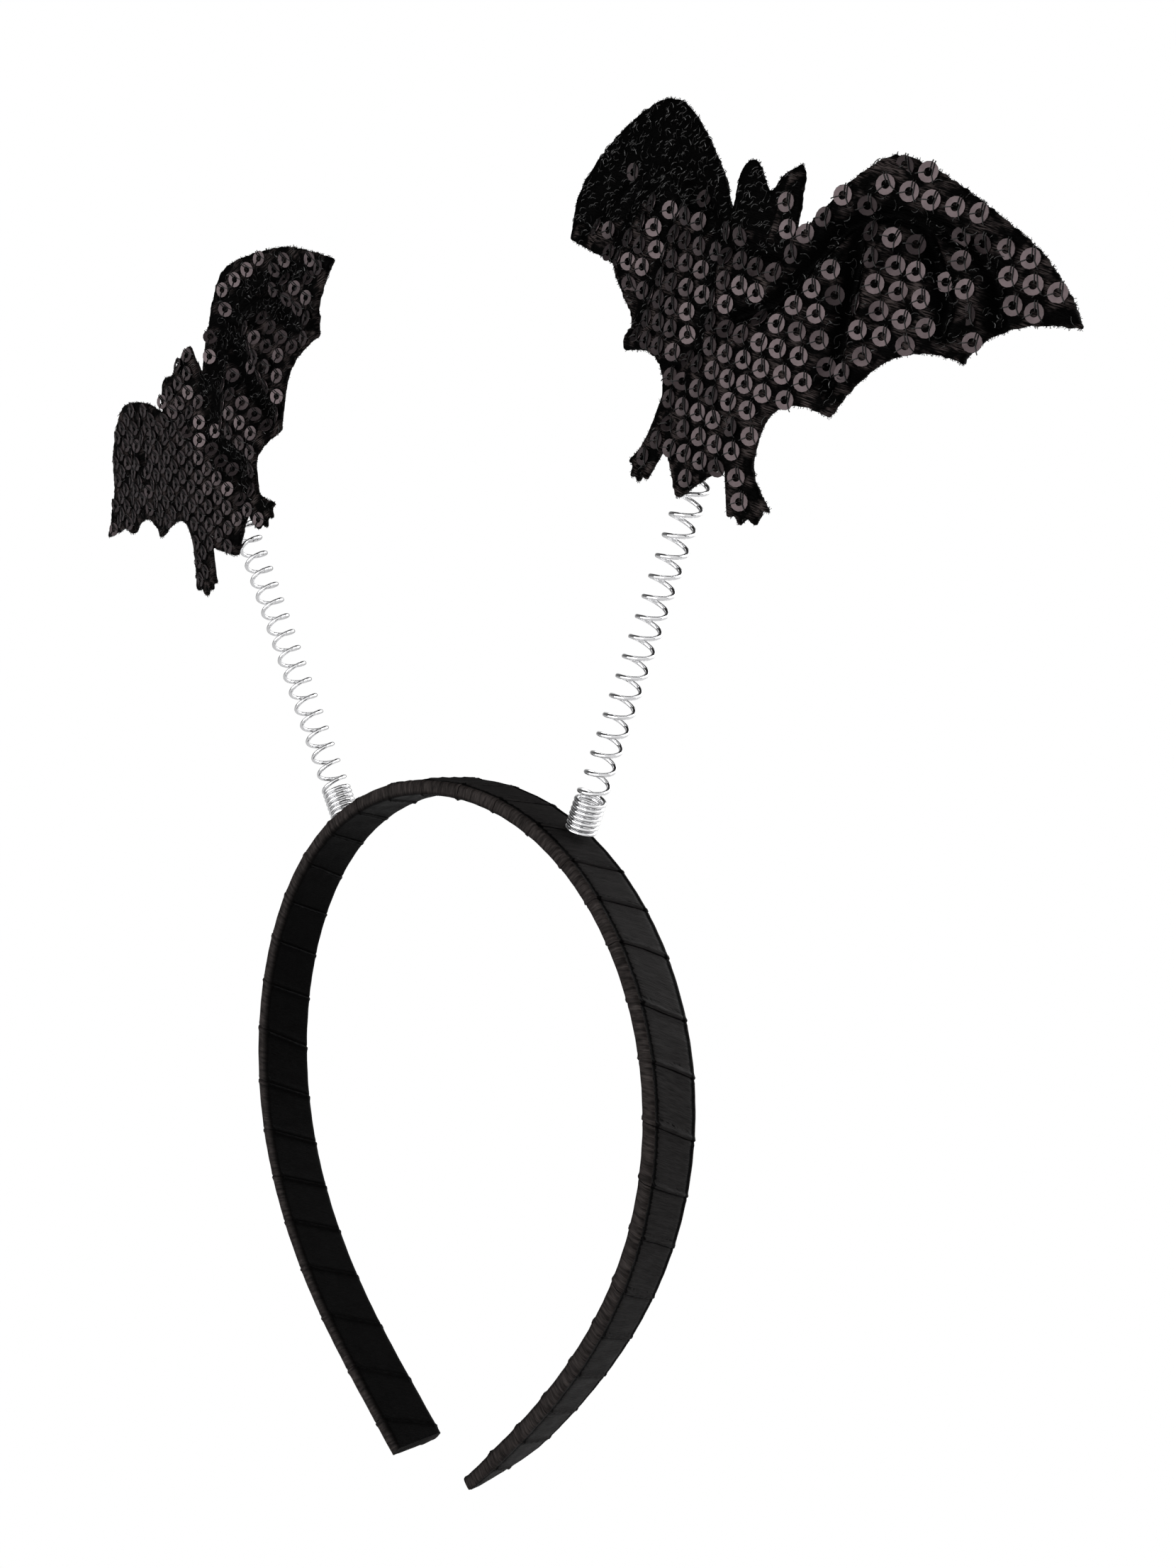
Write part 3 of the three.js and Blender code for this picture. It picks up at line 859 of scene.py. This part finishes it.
def cut_cloth(name, settings):
    """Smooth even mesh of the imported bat, before it is sewn."""
    cloth = bpy.data.objects.new(f"bat_cloth_{name}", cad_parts[f"bat_{name}"].data.copy())
    bpy.context.scene.collection.objects.link(cloth)
    edit_merged(cloth, 0.005)
    bpy.ops.object.mode_set(mode="OBJECT")
    apply_modifier(cloth, "REMESH", mode="VOXEL", voxel_size=settings.voxel, use_smooth_shade=True)
    apply_modifier(cloth, "SMOOTH", factor=0.5, iterations=SMOOTHING)
    flat = flat_points(cloth, np.linalg.inv(np.array(bat_matrix(name)))) / MM
    ears = cloth.vertex_groups.new(name="ears")
    chosen = (flat[:, 2] > EAR_LINE) & (np.abs(flat[:, 0]) < EAR_REACH)
    ears.add(np.flatnonzero(chosen).tolist(), 1.0, "REPLACE")
    apply_modifier(cloth, "SMOOTH", factor=0.5, iterations=EAR_SMOOTHING, vertex_group="ears")
    cloth.vertex_groups.clear()
    return cloth


def build_cloth(name, settings):
    cloth = cut_cloth(name, settings)
    mesh = cloth.data
    matrix = np.array(bat_matrix(name))
    inverse = np.linalg.inv(matrix)
    flat = flat_points(cloth, inverse)
    normals = np.empty(len(flat) * 3)
    mesh.vertices.foreach_get("normal", normals)
    normals = normals.reshape(-1, 3) @ inverse[:3, :3].T
    x, z = flat[:, 0] / MM, flat[:, 2] / MM
    rim = np.clip(1 - 1.5 * np.abs(normals[:, 1]), 0, 1)
    ragged = RAGGED[0] * (wave(x, z, RAGGED[1]) + wave(x, z, RAGGED[2]))
    flat += normals * (rim * ragged)[:, None] * MM
    for at_x, at_z, move_x, move_z, reach in NUDGES[name]:
        pull = np.exp(-((x - at_x) ** 2 + (z - at_z) ** 2) / reach ** 2) * MM
        flat[:, 0] += move_x * pull
        flat[:, 2] += move_z * pull
    crumple = sum(height * wave(x, z, one) * wave(x, z, other) for height, one, other in CRUMPLES)
    valley, seam = creased(name, x, z)
    puff = 1 - np.exp(-(seam / PUFF_WIDTH) ** 2)
    flat[:, 1] += (crumple + valley - folded(name, x, z) - PUFF_HEIGHT * puff) * MM
    set_points(cloth, flat @ matrix[:3, :3].T + matrix[:3, 3])
    layer = mesh.uv_layers.new(name="Cloth")
    corners = np.empty(len(mesh.loops), int)
    mesh.loops.foreach_get("vertex_index", corners)
    layer.data.foreach_set("uv", (flat[corners][:, (0, 2)] / (PATTERN * MM)).ravel())
    # The sewn attribute carries the painted shade along the sewn lines and above the bare line
    store(mesh, sewn=sewn_at(name, x, z), back=np.clip(4 * normals[:, 1], 0, 1))
    return cloth


# A ray at the cloth starts this far in front of it and runs this far, in metres
RAY_START = 0.04
RAY_LENGTH = 0.1


class Cloth:
    """Finds places on the front of a finished bat from its flat coordinates in millimetres."""

    def __init__(self, name, obj):
        self.matrix = bat_matrix(name)
        self.back = self.matrix.to_3x3() @ Vector((0, 1, 0))
        self.axis = self.matrix.to_3x3() @ Vector((1, 0, 0))
        vertices = [v.co for v in obj.data.vertices]
        self.tree = BVHTree.FromPolygons(vertices, [tuple(p.vertices) for p in obj.data.polygons])
        flat = flat_points(obj, np.array(self.matrix.inverted()))
        self.low, self.high = flat.min(0) / MM, flat.max(0) / MM

    def hit(self, x, z):
        start = self.matrix @ Vector((x * MM, -RAY_START, z * MM))
        place, normal, _, _ = self.tree.ray_cast(start, self.back, RAY_LENGTH)
        return place, normal

    def seat(self, x, z, reach):
        """Middle and smoothed normal of a round patch, and the share of it that lies on cloth."""
        place, normal = self.hit(x, z)
        if place is None:
            return None, None, 0.0
        ring = [self.hit(x + reach * math.cos(k * math.pi / 4), z + reach * math.sin(k * math.pi / 4))
                for k in range(8)]
        met = [p for p, _ in ring if p is not None]
        share = len(met) / 8
        if share == 1:
            across = (met[0] - met[4]).cross(met[2] - met[6])
            slant = (met[1] - met[5]).cross(met[3] - met[7])
            normal = (across.normalized() + slant.normalized()).normalized()
            if normal.dot(self.back) > 0:
                normal = -normal
            place = sum(met, Vector()) / 8 * 0.5 + place * 0.5
        return place, normal, share


def lying(normal, axis):
    """Turn of a small thing that lies on the cloth with its top upwards."""
    across = (axis - normal * axis.dot(normal)).normalized()
    up = normal.cross(across)
    if up.z < 0:
        up = -up
    return Matrix((across, up, normal)).transposed().to_4x4()


# Round of a sequin, and the rounding and heights of its rims in metres, from the hole outwards
RING_STEPS = 14
RING_ROUND = 0.00006
RING_HEIGHTS = (0.00002, 0.00012, 0.00016, 0.00006)
RING_SMOOTH = 35
THREAD_SMOOTH = 60


def ring_shape(settings):
    """One sequin: a thin ring that is cupped a little towards its hole."""
    outer, inner = settings.sequin / 2, settings.hole / 2
    profile = tuple(zip((inner, inner, outer - RING_ROUND, outer), RING_HEIGHTS))
    vertices, faces = [], []
    for k in range(RING_STEPS):
        angle = 2 * math.pi * k / RING_STEPS
        vertices += [Vector((r * math.cos(angle), r * math.sin(angle), h)) for r, h in profile]
    count = len(profile)
    for k in range(RING_STEPS):
        for i in range(count):
            a, b = k * count + i, k * count + (i + 1) % count
            c, d = ((k + 1) % RING_STEPS) * count + (i + 1) % count, ((k + 1) % RING_STEPS) * count + i
            faces.append((a, d, c, b))
    return vertices, faces


# Threads over a sequin: across and up in parts of its radius, and height in millimetres
STITCHES = (
    ((0.14, 1.16, -0.1), (0.2, 0.8, 0.2), (0.34, 0.3, 0.17), (0.46, -0.15, 0.17), (0.88, -0.62, 0.16),
     (1.02, -0.78, -0.1)),
    ((-0.12, 1.16, -0.1), (-0.06, 0.8, 0.2), (0.02, 0.46, 0.16), (0.05, 0.15, -0.06)),
    ((-0.2, -0.1, -0.06), (-0.42, -0.24, 0.16), (-0.84, -0.5, 0.17), (-1.08, -0.66, -0.1)),
)


def tube(path, radius, sides):
    """Vertices and faces of a thin closed thread along a path."""
    vertices, faces = [], []
    count = len(path)
    for i, place in enumerate(path):
        along = (path[min(i + 1, count - 1)] - path[max(i - 1, 0)]).normalized()
        across = along.orthogonal().normalized()
        up = along.cross(across)
        for k in range(sides):
            angle = 2 * math.pi * k / sides
            vertices.append(place + (across * math.cos(angle) + up * math.sin(angle)) * radius)
    for i in range(count - 1):
        for k in range(sides):
            a, b = i * sides + k, i * sides + (k + 1) % sides
            faces.append((a, b, b + sides, a + sides))
    faces.append(tuple(reversed(range(sides))))
    faces.append(tuple(range((count - 1) * sides, count * sides)))
    return vertices, faces


class Heap:
    """Many small shapes gathered for one mesh."""

    def __init__(self):
        self.vertices, self.faces, self.tones = [], [], []

    def add(self, vertices, faces, tone=0.0):
        start = len(self.vertices)
        self.vertices += vertices
        self.faces += [tuple(start + i for i in face) for face in faces]
        self.tones += [tone] * len(vertices)

    def to_object(self, name, smooth_degrees):
        obj = mesh_object(name, self.vertices, self.faces)
        store(obj.data, tone=self.tones)
        edit_all(obj)
        return face_outwards(obj, smooth_degrees)


# Rows of sequins: shift along a row in parts of the spacing, stray in millimetres, tilt and spin in degrees
SEQUIN_PHASE = 0.34
SEQUIN_STRAY = 0.2
SEQUIN_TILT = 2
SEQUIN_SPIN = 8

# The darkest sequins hang loose, and the lightest stay where the cloth has lost the others
LOOSE_TONE = 0.1
LOOSE_TILT = 6
BARE_TONE = 0.87
BARE_CLOTH = 0.72

# A sequin needs this share of this part of its radius on cloth, and lies this far over it, in metres
SEAT_REACH = 0.86
SEAT_SHARE = 0.75
SEQUIN_LIFT = 0.0002
STITCH_LIFT = 0.00008
STITCH_SIDES = 4


def sequin_places(name, cloth, settings, rng):
    spacing, row = settings.spacing / MM, settings.row / MM
    radius = settings.sequin / MM / 2
    low = math.floor(cloth.low[2] / row)
    high = math.ceil(cloth.high[2] / row)
    reach = math.ceil(max(-cloth.low[0], cloth.high[0]) / spacing) + 1
    for j in range(low, high + 1):
        for i in range(-reach, reach + 1):
            x = (i + SEQUIN_PHASE + 0.5 * (j % 2)) * spacing + rng.uniform(-SEQUIN_STRAY, SEQUIN_STRAY)
            z = (j + 0.5) * row + rng.uniform(-SEQUIN_STRAY, SEQUIN_STRAY)
            nod, sway = rng.gauss(0, SEQUIN_TILT), rng.gauss(0, SEQUIN_TILT)
            spin, tone = rng.gauss(0, SEQUIN_SPIN), rng.random()
            loose = LOOSE_TILT if tone < LOOSE_TONE else 1
            place, normal, share = cloth.seat(x, z, radius * SEAT_REACH)
            kept = tone > BARE_TONE or float(sewn_at(name, x, z)) < BARE_CLOTH
            if kept and share >= SEAT_SHARE:
                yield place, normal, (nod * loose, sway * loose, spin, tone)


def build_sequins(name, cloth, settings):
    rng = random.Random(settings.seed + len(name))
    rings, stitches = Heap(), Heap()
    shape, faces = ring_shape(settings)
    radius = settings.sequin / 2
    for place, normal, (nod, sway, spin, tone) in sequin_places(name, cloth, settings, rng):
        tilt = Matrix.Rotation(math.radians(nod), 4, "X") @ Matrix.Rotation(math.radians(sway), 4, "Y")
        spun = Matrix.Rotation(math.radians(spin), 4, "Z")
        seat = Matrix.Translation(place + normal * SEQUIN_LIFT) @ lying(normal, cloth.axis) @ tilt @ spun
        rings.add([seat @ v for v in shape], faces, tone)
        for stitch in STITCHES:
            path = [seat @ Vector((a * radius, u * radius, h * MM + STITCH_LIFT)) for a, u, h in stitch]
            stitches.add(*tube(path, settings.thread / 2, STITCH_SIDES))
    sequins = rings.to_object(f"sequins_{name}", RING_SMOOTH)
    return sequins, stitches.to_object(f"stitches_{name}", THREAD_SMOOTH)


# Loose fibres of the cut edge: their number and seed, ranges of length and radius, and their sunk root
FRAY_COUNT = 1900
FRAY_SEED = 40
FRAY_LENGTHS = (0.12, 0.46)
FRAY_RADII = (0.04, 0.07)
FRAY_ROOT = 0.2
FIBRE_SIDES = 3

# Thread loops on the face: their number, half spans, bows and radii, and their steps along and heights
LOOP_COUNT = 1000
LOOP_SPANS = (0.5, 0.95)
LOOP_BOWS = (0.3, 0.6)
LOOP_RADII = (0.06, 0.1)
LOOP_STEPS = ((-1, -0.05), (-0.5, 0.1), (0, 0.15), (0.5, 0.1), (1, -0.05))


def build_fray(name, obj, cloth, rng):
    """Short loose fibres round the cut edge."""
    hairs = Heap()
    rim = [v for v in obj.data.vertices if abs(v.normal.dot(cloth.back)) < 0.25]
    for vertex in rng.choices(rim, k=FRAY_COUNT):
        way = vertex.normal.copy()
        beside = way.cross(cloth.back).normalized()
        along = beside * rng.uniform(-1.1, 1.1)
        lift = cloth.back * rng.uniform(-0.5, 0.3)
        length = rng.uniform(*FRAY_LENGTHS) * MM
        bend = beside * rng.uniform(-0.5, 0.5) * length
        head = (way + along + lift).normalized() * length
        root = vertex.co - way * FRAY_ROOT * MM
        path = [root, vertex.co + head * 0.5 + bend * 0.3, vertex.co + head + bend]
        hairs.add(*tube(path, rng.uniform(*FRAY_RADII) * MM, FIBRE_SIDES))
    return hairs.to_object(f"fray_{name}", THREAD_SMOOTH)


def build_loops(name, cloth, rng):
    """Small thread loops on the face, most of them where the cloth is sewn or bare."""
    loops = Heap()
    while len(loops.vertices) < LOOP_COUNT * len(LOOP_STEPS) * FIBRE_SIDES:
        x = rng.uniform(cloth.low[0], cloth.high[0])
        z = rng.uniform(cloth.low[2], cloth.high[2])
        angle = rng.gauss(0.9, 0.7)
        span = rng.uniform(*LOOP_SPANS)
        keep = rng.random() < 0.1 + 0.9 * float(sewn_at(name, x, z))
        place, normal = cloth.hit(x, z)
        if place is None or not keep or normal.dot(cloth.back) > -0.3:
            continue
        seat = Matrix.Translation(place) @ lying(normal, cloth.axis)
        a, u = math.cos(angle) * span, math.sin(angle) * span
        bow = rng.choice((-1, 1)) * rng.uniform(*LOOP_BOWS)
        path = []
        for step, height in LOOP_STEPS:
            bulge = bow * (1 - step * step)
            path.append(seat @ (Vector((step * a - bulge * u, step * u + bulge * a, height)) * MM))
        loops.add(*tube(path, rng.uniform(*LOOP_RADII) * MM, FIBRE_SIDES))
    return loops.to_object(f"loops_{name}", THREAD_SMOOTH)


# Stage

# Floor: size and drop below the object in metres, and how bright the wire mirrors it
FLOOR_SIZE = 12
FLOOR_DROP = 0.0005
FLOOR_MIRRORED = 0.3


def build_floor(settings):
    low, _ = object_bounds()
    deselect_all()
    bpy.ops.mesh.primitive_plane_add(size=FLOOR_SIZE, location=(0, 0, low.z - FLOOR_DROP))
    floor = bpy.context.object
    floor.name = "floor"
    material, nodes = new_material("pale floor")
    speck = nodes.span(nodes.noise(nodes.place(), 60.0, 2.0), 0.3, 0.7)
    base = nodes.mix(speck, colour(settings.floor_colour), colour(settings.floor_colour, 0.98))
    paper = nodes.add("ShaderNodeBsdfDiffuse", {"Color": base})
    bright = nodes.add("ShaderNodeEmission", {"Color": WHITE, "Strength": 1.0})
    path = nodes.add("ShaderNodeLightPath").outputs
    mirrored = nodes.math("MULTIPLY", path["Is Singular Ray"], FLOOR_MIRRORED)
    seen = nodes.math("ADD", path["Is Camera Ray"], mirrored, clamp=True)
    mixed = nodes.blend(seen, paper, bright)
    nodes.add("ShaderNodeOutputMaterial", {"Surface": mixed.outputs[0]})
    floor.data.materials.append(material)
    floor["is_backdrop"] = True


# Dim room and its soft white glows: direction, full and fading half angles in degrees, strength
ROOM_GLOW = 0.05
GLOWS = (
    ((0.69, -0.72, 0.1), 26, 60, 0.3),
    ((0.66, 0.70, -0.1), 20, 60, 0.25),
    ((-0.9, -0.42, -0.12), 14, 32, 0.42),
)


def build_world():
    """Dim soft room, white behind the object and in the wire's sharp reflections, with a dark ceiling."""
    world = bpy.data.worlds.new("soft studio")
    bpy.context.scene.world = world
    world.use_nodes = True
    nodes = Nodes(world.node_tree)
    way = nodes.add("ShaderNodeTexCoord").outputs["Generated"]
    path = nodes.add("ShaderNodeLightPath").outputs
    strength = ROOM_GLOW
    for axis, inner, outer, power in GLOWS:
        facing = nodes.vectors("DOT_PRODUCT", way, axis)["Value"]
        spread = nodes.span(facing, math.cos(math.radians(outer)), math.cos(math.radians(inner)))
        strength = nodes.math("ADD", strength, nodes.math("MULTIPLY", spread, power))
    room = nodes.add("ShaderNodeBackground", {"Color": (0.97, 0.98, 1.0, 1), "Strength": strength})
    facing = nodes.vectors("DOT_PRODUCT", way, GLOWS[0][0])["Value"]
    front = nodes.span(facing, 0.15, 0.7, 0.16, 1.02)
    behind = nodes.span(facing, -0.97, -0.75, 0.4, 0.0)
    height = nodes.add("ShaderNodeSeparateXYZ", {"Vector": way}).outputs["Z"]
    below = nodes.span(height, 0.55, 0.85, 1.0, 0.15)
    sharp = nodes.math("MULTIPLY", nodes.math("ADD", front, behind), below)
    walls = nodes.add("ShaderNodeBackground", {"Color": WHITE, "Strength": sharp})
    white = nodes.add("ShaderNodeBackground", {"Color": WHITE, "Strength": 1.0})
    mixed = nodes.blend(path["Is Singular Ray"], room, walls)
    mixed = nodes.blend(path["Is Camera Ray"], mixed, white)
    nodes.add("ShaderNodeOutputWorld", {"Surface": mixed.outputs[0]})


# Area lights, each with a power in the settings: way from the object, distance and size in metres
LIGHTS = (
    ("key", (-0.06, -0.998, 0.03), 0.95, (1.4, 0.72)),
    ("side", (0.7, 0.57, 0.43), 0.42, (0.3, 0.45)),
    ("back", (0.12, 0.96, 0.25), 0.95, (0.7, 0.7)),
    ("top", (0.35, -0.1, 0.93), 0.9, (0.8, 0.8)),
)
LIT_PLACE = (0.02, 0, 0.02)


def build_light(name, way, distance, size, power):
    data = bpy.data.lights.new(name, "AREA")
    data.shape = "RECTANGLE"
    data.size, data.size_y = size
    data.energy = power
    lamp = bpy.data.objects.new(name, data)
    bpy.context.scene.collection.objects.link(lamp)
    back = Vector(way).normalized()
    lamp.location = Vector(LIT_PLACE) + back * distance
    lamp.rotation_euler = (-back).to_track_quat("-Z", "Y").to_euler()
    lamp.visible_camera = False


# Camera: width of its sensor in millimetres, and the nearest and furthest that it sees in metres
SENSOR = 36
CLIP = (0.01, 50)


def build_camera(settings):
    data = bpy.data.cameras.new("camera")
    data.lens = settings.lens
    data.sensor_width = SENSOR
    data.clip_start, data.clip_end = CLIP
    camera = bpy.data.objects.new("camera", data)
    bpy.context.scene.collection.objects.link(camera)
    a, e, roll = settings.azimuth, settings.elevation, settings.roll
    back = Vector((math.sin(a) * math.cos(e), -math.cos(a) * math.cos(e), math.sin(e)))
    right = (-back).cross(Vector((0, 0, 1))).normalized()
    up = right.cross(-back)
    across = right * math.cos(roll) + up * math.sin(roll)
    upright = up * math.cos(roll) - right * math.sin(roll)
    turn = Matrix((across, upright, back)).transposed().to_4x4()
    camera.matrix_world = Matrix.Translation(settings.camera) @ turn
    bpy.context.scene.camera = camera


# Operators

class HEADBAND_OT_band(bpy.types.Operator):
    """Wind the ribbon round the band"""
    bl_idname = "headband.band"
    bl_label = "Ribbon band"

    def execute(self, context):
        settings = context.scene.headband.ribbon
        finish_piece(build_band(settings), ribbon_material(settings), "band")
        return {"FINISHED"}


class HEADBAND_OT_springs(bpy.types.Operator):
    """Coil the two springs"""
    bl_idname = "headband.springs"
    bl_label = "Coil springs"

    def execute(self, context):
        settings = context.scene.headband.spring
        material = steel_material(settings)
        for name in SIDES:
            finish_piece(build_spring(name, settings), material, f"spring_{name}")
        return {"FINISHED"}


class HEADBAND_OT_bats(bpy.types.Operator):
    """Cut the cloth bats and sew on their sequins"""
    bl_idname = "headband.bats"
    bl_label = "Cloth bats"

    def execute(self, context):
        settings = context.scene.headband.cloth
        cloth_look = cloth_material(settings)
        sequin_look = sequin_material(settings)
        stitch_look = thread_material("black sewing thread", settings.stitch_colour, 0.3)
        fray_look = thread_material("dark fibre", settings.fray_colour, 0.3)
        loop_look = thread_material("grey thread loops", settings.loop_colour, 0.7)
        for name in SIDES:
            cloth = finish_piece(build_cloth(name, settings), cloth_look, f"bat_{name}")
            face = Cloth(name, cloth)
            rings, stitches = build_sequins(name, face, settings)
            rng = random.Random(settings.seed + FRAY_SEED + len(name))
            hairs = build_fray(name, cloth, face, rng)
            loops = build_loops(name, face, rng)
            trims = ((rings, sequin_look), (stitches, stitch_look), (hairs, fray_look), (loops, loop_look))
            for trim, look in trims:
                finish_piece(trim, look)
            bat = BATS[name]
            tuple(side * MM for side in bat["flat"])
        return {"FINISHED"}


class HEADBAND_OT_stage(bpy.types.Operator):
    """Set the floor, the light and the camera"""
    bl_idname = "headband.stage"
    bl_label = "Stage"

    def execute(self, context):
        settings = context.scene.headband.stage
        build_floor(settings)
        build_world()
        for name, way, distance, size in LIGHTS:
            build_light(f"{name} light", way, distance, size, getattr(settings, name))
        build_camera(settings)
        context.scene.view_settings.view_transform = "Standard"
        return {"FINISHED"}


class HEADBAND_PT_panel(bpy.types.Panel):
    """Pieces and settings of the bat headband"""
    bl_idname = "HEADBAND_PT_panel"
    bl_label = "Bat headband"
    bl_space_type = "VIEW_3D"
    bl_region_type = "UI"
    bl_category = "Headband"

    def draw(self, context):
        for operator in OPERATORS:
            self.layout.operator(operator.bl_idname)
        for group in ("ribbon", "spring", "cloth", "stage"):
            box = self.layout.box()
            box.label(text=group.title())
            settings = getattr(context.scene.headband, group)
            for name in settings.bl_rna.properties.keys():
                if name not in ("name", "rna_type"):
                    box.prop(settings, name)


OPERATORS = (HEADBAND_OT_band, HEADBAND_OT_springs, HEADBAND_OT_bats, HEADBAND_OT_stage)
CLASSES = (RibbonSettings, SpringSettings, ClothSettings, StageSettings, HeadbandSettings,
           *OPERATORS, HEADBAND_PT_panel)


def register():
    for item in CLASSES:
        bpy.utils.register_class(item)
    bpy.types.Scene.headband = PointerProperty(type=HeadbandSettings)


def unregister():
    del bpy.types.Scene.headband
    for item in reversed(CLASSES):
        bpy.utils.unregister_class(item)


def main():
    register()
    bpy.ops.headband.band()
    bpy.ops.headband.springs()
    bpy.ops.headband.bats()
    bpy.ops.headband.stage()


if __name__ == "__main__":
    main()
